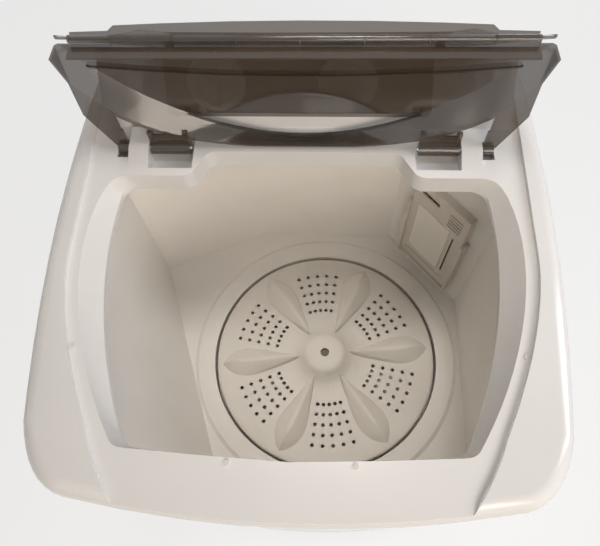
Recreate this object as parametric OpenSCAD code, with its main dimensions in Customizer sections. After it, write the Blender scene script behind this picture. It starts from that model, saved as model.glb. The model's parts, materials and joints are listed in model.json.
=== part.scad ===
// Semi-automatic washing machine: one wash tub with a pulsator, a smoked folding lid and a control pod.
// Millimetres, Z up. The origin is on the floor, under the middle of the machine with its lid open.

/* [Machine] */
// Width of the top deck
deck_w = 560; // [530:1:610]
// Height of the lid's seat above the floor
deck_z = 800; // [760:1:860]
// From the pulsator's axis to the deck's front edge
reach_front = 266; // [262:1:290]
// From the pulsator's axis to the deck's rear edge
reach_back = 300; // [296:1:304]
// From the machine's middle to the pulsator's axis
axis_y = -34; // [-60:1:0]
// From the machine's middle plane to the pulsator's axis, across
axis_x = 29; // [20:1:33]
// Height of the deck's skirt
skirt_h = 62; // [50:1:90]
// Height of the glossy shoulder outside the lid
shoulder_h = 6; // [3:1:10]
// Radius of that shoulder's outer edge
shoulder_r = 16; // [8:1:20]
// Wall of the white mouldings
wall = 3; // [2:0.1:4]
// How far the cabinet stands in from the deck's edge
cabinet_inset = 7; // [5:1:14]
// Height of the base moulding
base_h = 46; // [36:1:70]
// Height of a rubber foot below the base
foot_h = 16; // [10:1:30]

/* [Tub] */
// Depth of the tub, from the deck's seat to the ring round the pulsator
tub_depth = 357; // [330:1:380]
// From the machine's middle plane to a tub side wall
tub_half_w = 247; // [240:1:252]
// From the pulsator's axis to the tub's front wall
tub_front = 224; // [216:1:235]
// From the pulsator's axis to the tub's rear wall
tub_rear = 226; // [218:1:240]
// Radius of the well that the pulsator turns in
well_r = 180; // [176:1:186]
// Depth of that well
well_depth = 28; // [24:1:36]
// Outer radius of the raised ring round the well
ring_r = 212; // [206:1:216]
// Height of the raised ring
ring_h = 5; // [2:1:8]
// Steepness of the sloping floor at the left
ramp_tilt = 73.5; // [71:0.5:76]
// From the pulsator's axis back to where that slope starts at the left wall
ramp_back = 153; // [140:1:160]

/* [Pulsator] */
// Running gap between the pulsator and the well
well_gap = 4; // [2:0.5:8]
// Number of vanes
vane_count = 6; // [3:1:7]
// Width of a vane
vane_w = 46; // [30:1:56]
// Height of a vane
vane_h = 14; // [8:1:18]
// Radius of the holes
hole_r = 2.9; // [2:0.1:3.4]
// Holes in a row, and rows in each field
hole_rows = 5; // [3:1:6]
// Height of the hub above the disc
hub_h = 20; // [14:1:28]
// Radius of the drive shaft
shaft_r = 8; // [6:0.5:10]
// Running clearance on shafts and pins
run_gap = 0.06; // [0.03:0.01:0.09]

/* [Drive] */
// Radius of the driven pulley
big_pulley_r = 110; // [90:1:125]
// Radius of the motor's pulley
small_pulley_r = 22; // [18:1:30]
// From the pulsator's axis to the motor's axis
motor_reach = 170; // [165:1:178]
// Radius of the motor's can
motor_r = 62; // [50:1:66]
// Length of the motor's can
motor_h = 105; // [90:1:112]

/* [Lid] */
// Length of the rear half, from the hinge to the fold
lid_rear_l = 142; // [136:1:150]
// Length of the front half, from the fold to its front edge
lid_front_l = 218; // [212:1:222]
// Half the lid's width at the fold
lid_half_w = 250; // [246:0.5:250.5]
// Height of the lid's crown above its rim
lid_crown = 22; // [18:1:24]
// Wall of the smoked plastic
lid_wall = 2.4; // [1.8:0.1:3]
// How far the rear half opens from closed
lid_open = 91; // [88:1:93]
// How far the front half folds back from flat
lid_fold = 136; // [134:1:140]
// From the pulsator's axis to the lid's hinge
hinge_y = 145; // [142:1:147]
// Height of the hinge above the deck's seat
hinge_rise = 2; // [1.5:0.1:4]
// Radius of a hinge pin
hinge_pin_r = 3; // [2:0.1:4]
// Radius of the fold's wire
fold_wire_r = 1.5; // [1:0.1:2]
// Length of one knuckle of the fold
knuckle_l = 63; // [50:1:70]

/* [Control pod] */
// Gap between the folded lid and the pod's unrounded ridge
pod_clear = 2.75; // [2:0.25:8]
// How far the pod's face leans back
pod_run = 40; // [34:1:44]
// From the pulsator's axis to the foot of the pod's face
pod_y = 176; // [174:1:180]
// Half the pod's width
pod_half_w = 245; // [225:1:250]
// Radius of a dial's skirt
dial_r = 34; // [28:1:36]
// Distance between the two dials
dial_pitch = 150; // [120:1:170]
// How far the dials' middle lies left of the machine's middle
dial_shift = 25; // [0:1:40]

/* [Lint filter] */
// Width of the filter's frame
filter_w = 100; // [80:1:108]
// Height of the filter's frame
filter_h = 206; // [150:1:215]
// Thickness of the filter's frame
filter_t = 12; // [9:1:16]

/* [Hidden] */
$fn = 96;

white = "#e8e8e6";
warm_white = "#d8d0c6";
smoke = "#5c554f";
steel = "#b9bcc0";
dark = "#2c2c2e";

// Small shared values
eps = 0.01;
face_gap = 0.3;
ring_z = deck_z - tub_depth;
side_bow = 15;
widest_y = 57;
bow_length = 236;
corner_y = 179;
front_bow = 19;
seat_gap = 3;

// The fold's axis when the lid stands open, as [back, up] from the pulsator's axis and the deck's seat
fold_at = [hinge_y - lid_rear_l * cos(lid_open) + lid_crown * sin(lid_open),
    hinge_rise + lid_rear_l * sin(lid_open) + lid_crown * cos(lid_open)];
folded_slope = lid_open + lid_fold - 180;
pod_h = fold_at[1] - (pod_y + pod_run - fold_at[0]) * tan(folded_slope) - pod_clear;

// Curves and rounded outlines
function bezier2(a, b, c, n) = [for (i = [0:n]) let (t = i / n)
    (1 - t) * (1 - t) * a + 2 * t * (1 - t) * b + t * t * c];
function bezier3(a, b, c, d, n) = [for (i = [0:n]) let (t = i / n, s = 1 - t)
    s * s * s * a + 3 * s * s * t * b + 3 * s * t * t * c + t * t * t * d];
function flipped(points) = [for (i = [len(points) - 1:-1:0]) [-points[i][0], points[i][1]]];
function unit(v) = v / norm(v);
function turn(a) = a > 180 ? a - 360 : (a < -180 ? a + 360 : a);
function corner(a, b, c, r, n = 6) = let (u = unit(a - b), w = unit(c - b),
    half = acos(max(-1, min(1, u * w))) / 2, p = b + u * (r / tan(half)),
    o = b + unit(u + w) * (r / sin(half)), q = b + w * (r / tan(half)),
    a0 = atan2(p[1] - o[1], p[0] - o[0]), a1 = atan2(q[1] - o[1], q[0] - o[0]), da = turn(a1 - a0))
    [for (i = [0:n]) o + r * [cos(a0 + da * i / n), sin(a0 + da * i / n)]];
function rounded(pts) = [for (i = [0:len(pts) - 1])
    let (m = len(pts), a = pts[(i + m - 1) % m], b = pts[i], c = pts[(i + 1) % m])
    each (b[2] == 0 ? [[b[0], b[1]]]
        : corner([a[0], a[1]], [b[0], b[1]], [c[0], c[1]], b[2]))];

// Puts its children at the pulsator's depth, in the machine's middle plane
module at_depth(z = 0) {
    translate([0, axis_y, z]) children();
}

// Puts its children on the pulsator's own axis
module at_axis(z = 0) {
    translate([axis_x, axis_y, z]) children();
}

// Outline of the deck, grown by g
function deck_x(y, g) = deck_w / 2 + g - side_bow * pow((y - widest_y) / bow_length, 2);
function deck_half(g) = concat(
    [for (i = [0:4]) let (x = 52 * i) [x, -reach_front - g + front_bow * pow(x / 208, 2)]],
    bezier2([214, -reach_front - g + front_bow + 1], [deck_w / 2 - 29 + g, -corner_y - 58 - g],
        [deck_x(-corner_y, g), -corner_y], 8),
    [for (y = [-150:50:250]) [deck_x(y, g), y]],
    bezier2([deck_x(268, g), 268], [deck_x(290, g), reach_back + g], [deck_x(268, g) - 30, reach_back + g], 6));
module deck_plan(g) {
    polygon(concat(deck_half(g), flipped(deck_half(g))));
}

// Outline of the tub's inside, grown by g
chamfer_right = [0.754, 0.657];
chamfer_right_d = 253.4;
chamfer_left = [-0.401, 0.916];
chamfer_left_d = 239.2;
module half_plane(normal, d) {
    rotate([0, 0, atan2(normal[1], normal[0])]) translate([d - 1000, -500]) square([1000, 1000]);
}
module tub_plan(g) {
    intersection() {
        polygon(rounded([[-tub_half_w - g, -tub_front - g, 45 + g], [tub_half_w + g, -tub_front - g, 45 + g],
            [tub_half_w + g, tub_rear + g, 14 + g], [-tub_half_w - g, tub_rear + g, 14 + g]]));
        half_plane(chamfer_right, chamfer_right_d + g);
        half_plane(chamfer_left, chamfer_left_d + g);
    }
}

// Outlines of the opening in the deck, grown by g: its bowl, its rear bay, and the wider line at the
// seat, from which a band slopes down to the bowl
opening_front = 210;
opening_rear = 141;
lobe_y = 106;
bay_foot = 133;
bay_top = 113;
flare_depth = 20;
function side_of(a, b, c, d, g) = [for (p = bezier3(a, b, c, d, 14)) [p[0] + g, p[1], 0]];
function bowl_half(g) = concat([[0, -opening_front - g, 0], [90, -opening_front + 4 - g, 0],
    [166 + g, -opening_front + 13 - g, 16]], side_of([173, -184], [209, -101], [227, -8], [217, 82], g),
    [[214 + g, lobe_y + g, 20]]);
function bay_half(g) = [[bay_foot + 0.6 * g, lobe_y + g, 18], [bay_top + 0.6 * g, opening_rear + g, 16]];
function flare_half(g) = concat([[0, -opening_front - g, 0], [90, -opening_front + 4 - g, 0],
    [172 + g, -opening_front + 9 - g, 16]], side_of([181, -186], [227, -111], [258, -4], [232, 80], g),
    [[222 + g, lobe_y + g, 24]]);
function mirrored(pts) = [for (i = [len(pts) - 1:-1:1]) [-pts[i][0], pts[i][1], pts[i][2]]];
module both_sides(half) {
    polygon(rounded(concat(half, mirrored(half))));
}
module opening_plan(g) {
    both_sides(concat(bowl_half(g), bay_half(g)));
}
module flare(g, top) {
    hull() {
        translate([0, 0, deck_z - flare_depth]) linear_extrude(eps) both_sides(bowl_half(g));
        translate([0, 0, top - eps]) linear_extrude(eps) both_sides(flare_half(g));
    }
}

// Half width of the lid's rim, at a distance w in front of the fold
side_end = 200;
function rim_x(w) = lid_half_w - 63 * pow(w / 206, 1.7);
function front_rim(g) = concat([[lid_half_w + g, 0]], [for (w = [20:20:side_end - 20]) [rim_x(w) + g, -w]],
    bezier2([rim_x(side_end - 8) + g, -side_end + 8], [rim_x(side_end) - 4 + g, -lid_front_l + 10 - g],
        [rim_x(side_end) - 26, -lid_front_l + 11 - g], 4),
    [[110, -lid_front_l + 5 - g], [50, -lid_front_l + 1 - g], [0, -lid_front_l - g]]);
function crown_x(w) = lid_half_w - 16 - 74 * pow(w / 190, 1.5);
function front_crown(g) = concat([[lid_half_w - fold_inset + g, 0]], [for (w = [20:20:160]) [crown_x(w) + g, -w]],
    bezier2([crown_x(172) + g, -172], [crown_x(188) + g, -196], [124, -lid_front_l + 20 - g], 4),
    [[60, -lid_front_l + 15 - g], [0, -lid_front_l + 13 - g]]);

// The rear half's rim and crown; the fold is at y = -lid_rear_l and the hinge at y = 0
rim_side = 100;
function rear_rim(g) = concat(
    bezier3([0, -1 + g], [118, -1 + g], [203 + g, -19 + g], [lid_half_w - 9 + g, -rim_side], 12),
    [[lid_half_w + g, -lid_rear_l]]);
crown_side = 112;
crown_inset = 25;
fold_inset = 1;
function rear_crown(g) = concat(
    bezier3([0, -0.5 + g], [75, -0.5 + g], [165 + g, -39 + g], [lid_half_w - crown_inset + g, -crown_side], 12),
    [[lid_half_w - fold_inset + g, -lid_rear_l]]);

// Placing the two halves of the open lid
module at_hinge() {
    at_depth(deck_z + hinge_rise) translate([0, hinge_y, 0]) rotate([-lid_open, 0, 0]) children();
}
module at_fold() {
    at_hinge() translate([0, -lid_rear_l, lid_crown]) rotate([-lid_fold, 0, 0]) children();
}

// Base, cabinet and feet
module base_frame() color(white) at_depth() {
    difference() {
        translate([0, 0, foot_h]) linear_extrude(base_h) deck_plan(-cabinet_inset);
        translate([0, 0, foot_h + wall]) linear_extrude(base_h) deck_plan(-cabinet_inset - wall);
        for (x = [-1, 1], y = foot_places) translate([x * foot_x, y, foot_h - 1]) cylinder(r = foot_stem_r, h = wall + 2);
        translate([0, (reach_back - reach_front) / 2, foot_h - 1]) cylinder(r = base_vent_r, h = wall + 2);
    }
    for (y = [-1, 1]) translate([-base_rib_l / 2, y * 150 + 15, foot_h + wall]) cube([base_rib_l, wall, base_rib_h]);
}
foot_x = 205;
foot_places = [-195, 225];
foot_stem_r = 6;
base_rib_l = 420;
base_rib_h = 24;
base_vent_r = 44;

module feet() color(dark) at_depth() {
    for (x = [-1, 1], y = foot_places) translate([x * foot_x, y, 0]) {
        rotate_extrude() polygon([[0, 0], [20, 0], [23, 3], [20, foot_h - face_gap], [0, foot_h - face_gap]]);
        translate([0, 0, foot_h - 1]) cylinder(r = foot_stem_r - run_gap, h = wall + 3);
        translate([0, 0, foot_h + wall + face_gap]) cylinder(r = foot_stem_r + 3, h = 3);
    }
}

cabinet_z = foot_h + base_h;
cabinet_top = deck_z - skirt_h + 14;
service_w = 330;
service_h = 380;
service_z = 150;
module cabinet() color(white) at_depth() {
    difference() {
        translate([0, 0, cabinet_z]) linear_extrude(cabinet_top - cabinet_z) deck_plan(-cabinet_inset);
        translate([0, 0, cabinet_z - 1]) linear_extrude(cabinet_top - flange_t - cabinet_z + 1)
            deck_plan(-cabinet_inset - wall);
        translate([0, 0, cabinet_z]) linear_extrude(deck_z) deck_plan(-cabinet_inset - cabinet_flange);
        translate([0, 0, cabinet_top - 10]) linear_extrude(20) tub_plan(wall + tub_room);
        for (x = [-1, 1], p = deck_screw_places) translate([x * p[0], p[1], cabinet_top - 10])
            cylinder(r = screw_r + run_gap, h = 20);
        translate([-service_w / 2, reach_back - 60, service_z]) cube([service_w, 100, service_h]);
        translate([gland_x, reach_back, gland_z]) rotate([90, 0, 0]) cylinder(r = gland_r, h = 60, center = true);
        translate([outlet_x, reach_back, outlet_z]) rotate([90, 0, 0]) cylinder(r = outlet_r + face_gap, h = 60, center = true);
        for (x = [-1, 1], z = screw_rows) translate([x * cover_screw_x, reach_back, z])
            rotate([90, 0, 0]) cylinder(r = screw_r + run_gap, h = 60, center = true);
    }
}
gland_x = -215;
gland_z = 200;
gland_r = 9;
outlet_x = 205;
outlet_z = 110;
outlet_r = 15;
screw_r = 2;
cover_lap = 14;
cover_screw_x = service_w / 2 + cover_lap / 2;
flange_t = 2;
cabinet_flange = 16;
tub_room = 1;
screw_inset = 15;
deck_screw_places = [[deck_x(0, -screw_inset), 0], [130, -reach_front + front_bow * pow(130 / 208, 2) + screw_inset],
    [200, reach_back - screw_inset]];
screw_rows = [service_z + 20, service_z + service_h / 2, service_z + service_h - 20];
back_face = reach_back - cabinet_inset;

module rear_cover() color(white) at_depth() {
    difference() {
        union() {
            translate([-service_w / 2 - cover_lap, back_face, service_z - cover_lap])
                cube([service_w + 2 * cover_lap, 2, service_h + 2 * cover_lap]);
            translate([-service_w / 2 + 1, back_face - wall, service_z + 1])
                cube([service_w - 2, wall, service_h - 2]);
        }
        translate([-service_w / 2 + 6, back_face - wall - 1, service_z + 6])
            cube([service_w - 12, wall - 1, service_h - 12]);
        for (x = [-1, 1], z = screw_rows) translate([x * cover_screw_x, back_face, z])
            rotate([90, 0, 0]) cylinder(r = screw_r + run_gap, h = 20, center = true);
        for (z = [0:7], x = [-1, 1]) translate([x * 70 - 40, back_face - 10, service_z + 40 + z * 12]) cube([80, 30, 5]);
    }
}

// A pan-head screw whose head rests on z = 0 and whose shank points down
module screw(r, l) {
    rotate_extrude() polygon([[0, -l], [r * 0.6, -l], [r, -l + 1.5], [r, 0], [r * 2, 0], [r * 1.9, r * 0.8],
        [r * 1.2, r * 1.3], [0, r * 1.4]]);
}

module rear_cover_screws() color(steel) at_depth() {
    for (x = [-1, 1], z = screw_rows) translate([x * cover_screw_x, back_face + 2, z])
        rotate([-90, 0, 0]) screw(screw_r, 8);
}

// Deck with its shoulder, lid seat, hinge posts and pockets
post_in = 183;
post_out = 207;
post_front = hinge_y - 26;
post_back = hinge_y + 25;
post_h = 9;
pocket_in = 131;
pocket_front = hinge_y - 28;
pocket_depth = 14;
lip_depth = 28;
rib_gap = 3;
seat_mouth = 150;
seat_turn = 180;
fold_y = hinge_y - lid_rear_l;
seat_side = concat([[lid_half_w + seat_gap, reach_back - 20]],
    [for (w = [0:10:seat_turn]) [rim_x(w) + seat_gap, fold_y - w]],
    bezier2([rim_x(seat_turn + 8) + seat_gap, fold_y - seat_turn - 8], [rim_x(side_end) - 2, -opening_front - 8],
        [seat_mouth, -reach_front - 4], 8),
    [[seat_mouth - 6, -reach_front - 20]]);
module seat_plan() {
    polygon(concat(seat_side, flipped(seat_side)));
}
// The hollows that the hinge brackets and the outer arms of the lid turn in
module hinge_pockets() {
    for (x = [0, 1]) mirror([x, 0, 0]) {
        translate([pocket_in, pocket_front, deck_z - pocket_depth])
            cube([post_in - pocket_in, post_back - pocket_front, 60]);
        translate([post_out, hinge_y - arm_room, deck_z - pocket_depth]) cube([arm_w + 3, 2 * arm_room, 60]);
    }
}
arm_room = 13;
module pin_bore() {
    for (x = [0, 1]) mirror([x, 0, 0]) translate([pocket_in, hinge_y, deck_z + hinge_rise]) rotate([0, 90, 0])
        cylinder(r = hinge_pin_r + run_gap / 2, h = post_out + 1 - pocket_in);
}
module top_deck() color(white) at_depth() {
    difference() {
        hull() {
            translate([0, 0, deck_z - skirt_h]) linear_extrude(skirt_h + shoulder_h - shoulder_r) deck_plan(0);
            for (a = [22.5:22.5:90]) translate([0, 0, deck_z + shoulder_h - shoulder_r * (1 - sin(a)) - eps])
                linear_extrude(eps) deck_plan(-shoulder_r * (1 - cos(a)));
        }
        translate([0, 0, deck_z - skirt_h - 1]) linear_extrude(skirt_h + 1 - wall - 5) deck_plan(-wall);
        translate([0, 0, deck_z - wall - 6]) linear_extrude(6) deck_plan(-wall - 9);
        translate([0, 0, deck_z]) linear_extrude(40) seat_plan();
        translate([0, 0, deck_z - 60]) linear_extrude(100) opening_plan(0);
        flare(0, deck_z + 1);
        hinge_pockets();
        pin_bore();
        for (x = pod_screw_places) translate([x, pod_boss_y, deck_z - 20]) cylinder(r = screw_r + run_gap, h = 40);
    }
    difference() {
        union() {
            translate([0, 0, deck_z - lip_depth]) linear_extrude(lip_depth - eps) opening_plan(wall);
            flare(wall, deck_z);
            // Rib that presses on the tub's rim
            translate([0, 0, tub_top + seal_t]) linear_extrude(deck_z - wall - tub_top - seal_t + 1) difference() {
                tub_plan(wall + flange_w - 2);
                tub_plan(wall + rib_gap);
            }
            for (x = [0, 1]) mirror([x, 0, 0]) {
                translate([pocket_in - wall, pocket_front - wall, deck_z - pocket_depth - wall])
                    cube([post_out + arm_w + 6 - pocket_in + wall, post_back - pocket_front + 2 * wall,
                        pocket_depth + wall - eps]);
                hull() {
                    translate([post_in, hinge_y - 5, deck_z - 5])
                        cube([post_out - post_in, post_back - hinge_y + 5, post_h + 5]);
                    translate([post_in, post_front, deck_z - 5]) cube([post_out - post_in, 16, 5]);
                }
            }
        }
        translate([0, 0, deck_z - 80]) linear_extrude(120) opening_plan(0);
        flare(0, deck_z + 1);
        hinge_pockets();
        pin_bore();
    }
    for (x = [-1, 1], p = deck_screw_places) translate([x * p[0], p[1], cabinet_top]) difference() {
        cylinder(r = 5, h = deck_z - wall - cabinet_top);
        translate([0, 0, -1]) cylinder(r = screw_r + run_gap, h = 20);
    }
}
module deck_screws() color(steel) at_depth() {
    for (x = [-1, 1], p = deck_screw_places) translate([x * p[0], p[1], cabinet_top - flange_t])
        rotate([180, 0, 0]) screw(screw_r, 14);
}

// Tub: walls, chamfers, the sloping floor at the left, the ring and the pulsator's well
tub_top = deck_z - lip_depth - 2;
flange_w = 8;
floor_t = 4;
sump_x = 205;
sump_y = -185;
sump_r = 16;
plate_drop = 34;
boss_places = [[-130, -110], [130, -110], [-130, 215], [130, 215]];
boss_r = 9;
ramp_dist = norm([axis_x + tub_half_w, ramp_back]);
ramp_dir = -atan2(ramp_back, axis_x + tub_half_w) - asin(ring_r / ramp_dist);
module ramp(t) {
    // The slope's foot runs from the left wall past the ring, touching it; the slope leans out to the left
    translate([-tub_half_w, ramp_back, ring_z]) rotate([0, 0, ramp_dir]) rotate([90 - ramp_tilt, 0, 0])
        translate([-600, -400 - t, -20]) cube([1200, 400, 700]);
}
module tub_inside() {
    difference() {
        union() {
            translate([0, 0, ring_z]) linear_extrude(tub_depth + 10) tub_plan(0);
            translate([axis_x, 0, ring_z - well_depth]) cylinder(r = well_r, h = well_depth + ring_h + 1);
        }
        ramp(0);
        translate([axis_x, 0, ring_z - eps]) rotate_extrude() polygon([[well_r, -1], [well_r, 1], [well_r + 6, 1.5],
            [ring_r - 12, ring_h], [ring_r - 6, ring_h], [ring_r, 0], [ring_r, -1]]);
    }
}
module wash_tub() color(warm_white) at_depth() {
    difference() {
        union() {
            difference() {
                translate([0, 0, ring_z - floor_t]) linear_extrude(tub_top - ring_z + floor_t) tub_plan(wall);
                ramp(wall);
            }
            translate([0, 0, ring_z - floor_t]) linear_extrude(floor_t) tub_plan(wall);
            translate([0, 0, tub_top - 4]) linear_extrude(4) tub_plan(wall + flange_w);
            translate([axis_x, 0, ring_z - well_depth - floor_t]) cylinder(r = well_r + floor_t, h = well_depth);
            for (p = boss_places) translate([axis_x + p[0], p[1], ring_z - well_depth - plate_drop])
                cylinder(r = boss_r, h = well_depth + plate_drop - floor_t + 1);
            translate([sump_x, sump_y, ring_z - 24]) cylinder(r = sump_r + wall, h = 22);
            filter_pad();
        }
        tub_inside();
        translate([axis_x, 0, ring_z - well_depth - 20]) cylinder(r = hub_bore_r, h = 40);
        translate([sump_x, sump_y, ring_z - 30]) cylinder(r = sump_r, h = 60);
        for (p = boss_places) translate([axis_x + p[0], p[1], ring_z - well_depth - plate_drop - 1])
            cylinder(r = bolt_r - 0.1, h = 18);
        for (a = [45:90:315]) translate([axis_x, 0, ring_z - well_depth - floor_t - 1]) rotate([0, 0, a])
            translate([housing_pcd / 2, 0, 0]) cylinder(r = bolt_r + run_gap, h = floor_t + 2);
        at_filter() translate([-filter_w / 2 + 10, -20, 16]) cube([filter_w - 20, 40, filter_h - 32]);
    }
}
bolt_r = 3;
hub_bore_r = 20;
housing_pcd = 76;

// The filter's own frame: x across the chamfer, y into the wall, z up
filter_z = 32;
filter_mid = -10;
module at_filter() {
    translate([chamfer_right[0] * chamfer_right_d, chamfer_right[1] * chamfer_right_d, ring_z + filter_z])
        rotate([0, 0, atan2(chamfer_right[1], chamfer_right[0]) - 90]) translate([-filter_mid, 0, 0]) children();
}
module filter_pad() {
    at_filter() translate([-filter_w / 2 - 4, 0, -6]) cube([filter_w + 8, wall, filter_h + 12]);
}

seal_t = 2.5;
module tub_seal() color(dark) at_depth(tub_top) {
    linear_extrude(seal_t) difference() {
        tub_plan(wall + flange_w - 1);
        tub_plan(wall + rib_gap - 1);
    }
}

// Drive: plate, bearing housing, shaft, pulleys, belt and motor
plate_z = ring_z - well_depth - plate_drop - 3;
plate_t = 2.5;
motor_hole_r = motor_r - 14;
belt_z = plate_z - motor_h - 34;
module drive_plate() color(steel) at_axis() {
    difference() {
        translate([-150, -130, plate_z]) cube([300, 365, plate_t + 0.5]);
        translate([-146, -134, plate_z + 30]) cube([292, 380, 1]);
        translate([0, 0, plate_z - 1]) cylinder(r = 44, h = 6);
        translate([0, motor_reach, plate_z - 1]) cylinder(r = 22, h = 6);
        for (p = boss_places) translate([p[0], p[1], plate_z - 1]) cylinder(r = bolt_r + run_gap, h = 6);
        for (a = [45:90:315]) translate([0, motor_reach, plate_z - 1]) rotate([0, 0, a])
            translate([motor_hole_r, 0, 0]) cylinder(r = grommet_r - 2, h = 6);
    }
    for (x = [-1, 1]) translate([x > 0 ? 150 - plate_t : -150, -130, plate_z - 22]) cube([plate_t, 365, 22 + eps]);
}
grommet_r = 7;
module bolt(r, l) {
    cylinder(r = r * 1.8, h = r * 1.2, $fn = 6);
    translate([0, 0, -l]) cylinder(r = r, h = l + eps);
}
module plate_bolts() color(steel) at_axis() {
    for (p = boss_places) translate([p[0], p[1], plate_z]) rotate([180, 0, 0]) bolt(bolt_r - 0.1, 16);
}
housing_top = ring_z - well_depth - floor_t;
housing_l = 96;
bearing_r = 17.5;
bearing_t = 12;
module bearing_housing() color(steel) at_axis() {
    difference() {
        union() {
            translate([0, 0, housing_top - 5]) cylinder(r = 40, h = 5);
            translate([0, 0, housing_top - housing_l]) cylinder(r = 26, h = housing_l);
            translate([0, 0, housing_top]) cylinder(r = hub_bore_r - face_gap, h = floor_t + 2);
            for (a = [0:90:270]) rotate([0, 0, a]) translate([24, -2, housing_top - 40]) cube([14, 4, 36]);
        }
        translate([0, 0, housing_top - housing_l - 1]) cylinder(r = shaft_r + 2, h = housing_l + 20);
        translate([0, 0, housing_top - housing_l - 1]) cylinder(r = bearing_r + seat_fit, h = bearing_t + 1);
        translate([0, 0, housing_top - bearing_t - 6]) cylinder(r = bearing_r + seat_fit, h = bearing_t);
        translate([0, 0, housing_top - 6 - eps]) cylinder(r = seal_r, h = 30);
        for (a = [45:90:315]) rotate([0, 0, a]) translate([housing_pcd / 2, 0, housing_top - 6])
            cylinder(r = bolt_r + run_gap, h = 20);
    }
}
seal_r = 14;
seat_fit = 0.03;
module housing_bolts() color(steel) at_axis() {
    for (a = [45:90:315]) rotate([0, 0, a]) translate([housing_pcd / 2, 0, housing_top - 5]) {
        rotate([180, 0, 0]) bolt(bolt_r, 5 + floor_t);
        translate([0, 0, 5 + floor_t]) cylinder(r = bolt_r * 1.7, h = 4);
    }
}
module bearing(z) color(steel) at_axis() {
    translate([0, 0, z]) difference() {
        cylinder(r = bearing_r, h = bearing_t - 0.2);
        translate([0, 0, -1]) cylinder(r = shaft_r + run_gap / 2, h = bearing_t + 2);
        for (s = [0, 1]) translate([0, 0, s ? bearing_t - 1.2 : -1]) difference() {
            cylinder(r = bearing_r - 2.5, h = 2);
            translate([0, 0, -1]) cylinder(r = shaft_r + 2.5, h = 4);
        }
    }
}
module upper_bearing() bearing(housing_top - bearing_t - 5.9);
module lower_bearing() bearing(housing_top - housing_l + 0.1);
module shaft_seal() color(dark) at_axis() {
    translate([0, 0, housing_top - 5.8]) rotate_extrude() polygon([[shaft_r + run_gap, 0], [seal_r, 0], [seal_r, 9],
        [shaft_r + 4, 9], [shaft_r + 3, 4], [shaft_r + run_gap, 7]]);
}

// Half of a belt pulley's section above its middle plane, from the groove to the web or the bore
pulley_t = 18;
web_t = 3;
groove_d = 7;
function groove(r) = [[r, -pulley_t / 2], [r, -6], [r - groove_d, -2.5], [r - groove_d, 2.5], [r, 6], [r, pulley_t / 2]];
module spoked_pulley(r, bore, hub, web_holes) {
    rim = r - 2 * groove_d;
    difference() {
        rotate_extrude() polygon(concat([[0, -pulley_t / 2], [hub, -pulley_t / 2], [hub, -web_t], [rim, -web_t],
            [rim, -pulley_t / 2]], groove(r), [[rim, pulley_t / 2], [rim, web_t], [hub, web_t],
            [hub, pulley_t / 2], [0, pulley_t / 2]]));
        cylinder(r = bore, h = 2 * pulley_t, center = true);
        for (i = [1:1:web_holes]) rotate([0, 0, i * 360 / web_holes]) translate([(rim + hub) / 2, 0, 0])
            cylinder(r = (rim - hub) / 3, h = 10, center = true);
    }
}
module plain_pulley(r, bore) {
    difference() {
        rotate_extrude() polygon(concat([[0, -pulley_t / 2]], groove(r), [[0, pulley_t / 2]]));
        cylinder(r = bore, h = 2 * pulley_t, center = true);
    }
}
module driven_pulley() color(steel) at_axis(belt_z) spoked_pulley(big_pulley_r, shaft_r, 24, 6);
module motor_pulley() color(steel) at_axis(belt_z) translate([0, motor_reach, 0]) difference() {
    plain_pulley(small_pulley_r, motor_shaft_r);
    rotate([90, 0, 0]) cylinder(r = set_screw_r, h = 40);
}
motor_shaft_r = 6;
set_screw_r = 2;
module pulley_set_screw() color(dark) at_axis(belt_z) translate([0, motor_reach, 0])
    rotate([90, 0, 0]) translate([0, 0, motor_shaft_r]) cylinder(r = set_screw_r, h = 8);
module pulley_nut() color(steel) at_axis(belt_z - pulley_t / 2) difference() {
    translate([0, 0, -9]) cylinder(r = 14, h = 9, $fn = 6);
    translate([0, 0, -10]) cylinder(r = shaft_r, h = 11);
}

// The belt runs 0.4 mm clear of both grooves and its two straight runs touch both circles
belt_gap = 0.4;
belt_t = 6;
belt_tilt = asin((big_pulley_r - small_pulley_r) / motor_reach);
module belt_plan(g) {
    hull() {
        circle(r = big_pulley_r - 7 + belt_gap + g);
        translate([0, motor_reach]) circle(r = small_pulley_r - 7 + belt_gap + g, $fn = 64);
    }
}
module drive_belt() color(dark) at_axis(belt_z - 2.2) {
    linear_extrude(4.4) difference() {
        belt_plan(belt_t);
        belt_plan(0);
    }
}
shaft_top = ring_z - 2;
module pulsator_shaft() color(steel) at_axis() {
    difference() {
        translate([0, 0, belt_z - pulley_t / 2 - 14]) cylinder(r = shaft_r, h = shaft_top - belt_z + pulley_t / 2 + 14);
        translate([0, 0, shaft_top - 26]) cylinder(r = bolt_r, h = 30);
    }
}

motor_top = plate_z - 5;
module motor() color(steel) at_axis() translate([0, motor_reach, 0]) {
    difference() {
        union() {
            translate([0, 0, motor_top - motor_h]) rotate_extrude() polygon([[0, 0], [motor_r - 10, 0],
                [motor_r - 2, 6], [motor_r, 12], [motor_r, motor_h - 12], [motor_r - 2, motor_h - 6],
                [motor_r - 8, motor_h], [0, motor_h]]);
            translate([0, 0, motor_top - eps]) cylinder(r = 18, h = 5);
            translate([0, 0, motor_top - motor_h - 5]) cylinder(r = 18, h = 6);
            for (a = [45:90:315]) rotate([0, 0, a]) translate([motor_hole_r, 0, motor_top - 8]) cylinder(r = 8, h = 8);
        }
        translate([0, 0, motor_top - motor_h - 20]) cylinder(r = motor_shaft_r + run_gap, h = motor_h + 40);
        for (a = [45:90:315]) rotate([0, 0, a]) translate([motor_hole_r, 0, motor_top - 22]) cylinder(r = 2.5, h = 30);
        for (a = [0:20:340]) rotate([0, 0, a]) translate([motor_r - 3, -2.5, motor_top - motor_h + 24]) cube([8, 5, motor_h - 48]);
    }
}
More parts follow.
